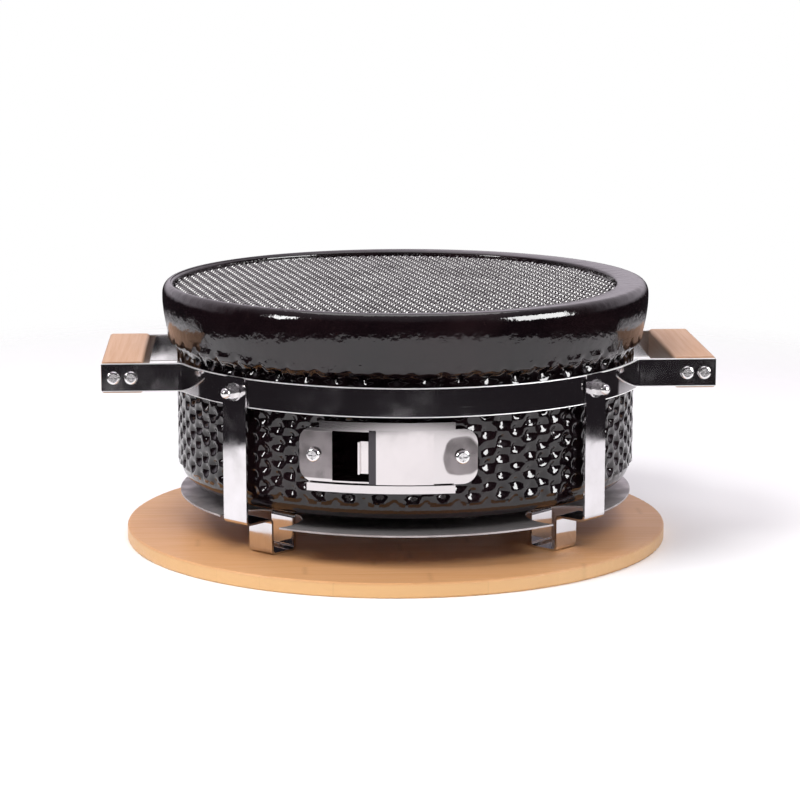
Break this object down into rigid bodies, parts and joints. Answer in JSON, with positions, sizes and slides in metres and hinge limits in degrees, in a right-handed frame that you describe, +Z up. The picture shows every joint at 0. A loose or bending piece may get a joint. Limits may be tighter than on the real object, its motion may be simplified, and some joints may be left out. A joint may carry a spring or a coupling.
{
  "type": "tabletop charcoal grill",
  "caption": "Round tabletop charcoal grill: ceramic bowl in a polished steel band with legs and wooden grips, sliding air vent, lift-out mesh and grate, on a bamboo board.",
  "frame": {"origin": "on the bowl's axis at the underside of the board", "axes": "+X towards the right grip seen from the front, +Y towards the back with the vent at the front, +Z up"},
  "size_m": [0.4334, 0.392, 0.1872],
  "materials": {
    "bamboo": "oiled bamboo strips, satin",
    "grip_wood": "pale bare hardwood, satin",
    "polished_steel": "stainless sheet polished to a mirror",
    "fastener_steel": "bright stainless fasteners",
    "glazed_clay": "near-black brown glaze, glossy, over a field of low nubs",
    "cast_grate": "dark cast iron",
    "mesh_wire": "bright crimped steel wire"
  },
  "bodies": {
    "board": {"bamboo_board": "bamboo"},
    "grill": {"base_plate": "polished_steel", "leg_front_left": "polished_steel", "leg_front_right": "polished_steel", "leg_rear_left": "polished_steel", "leg_rear_right": "polished_steel", "tab_rivets": "polished_steel", "leg_bolts": "fastener_steel", "leg_washers": "fastener_steel", "leg_cap_nuts": "fastener_steel", "band_front": "polished_steel", "band_rear": "polished_steel", "grip_left": "grip_wood", "grip_right": "grip_wood", "grip_screws_left": "fastener_steel", "grip_screws_right": "fastener_steel", "ceramic_bowl": "glazed_clay", "vent_frame": "polished_steel", "vent_screws": "fastener_steel"},
    "door": {"vent_door": "polished_steel"},
    "grate": {"charcoal_grate": "cast_grate"},
    "mesh": {"cooking_mesh": "mesh_wire"}
  },
  "joints": [
    {"name": "grill_lift", "type": "slide", "parent": "board", "child": "grill", "axis": [0, 0, 1], "range_m": [0, 0.05]},
    {"name": "mesh_lift", "type": "slide", "parent": "grill", "child": "mesh", "axis": [0, 0, 1], "range_m": [0, 0.12]},
    {"name": "grate_lift", "type": "slide", "parent": "grill", "child": "grate", "axis": [0, 0, 1], "range_m": [0, 0.05]},
    {"name": "vent_slide", "type": "hinge", "parent": "grill", "child": "door", "pos_m": [0, 0, 0.09], "axis": [0, 0, 1], "range_deg": [-8.8, 4]}
  ]
}
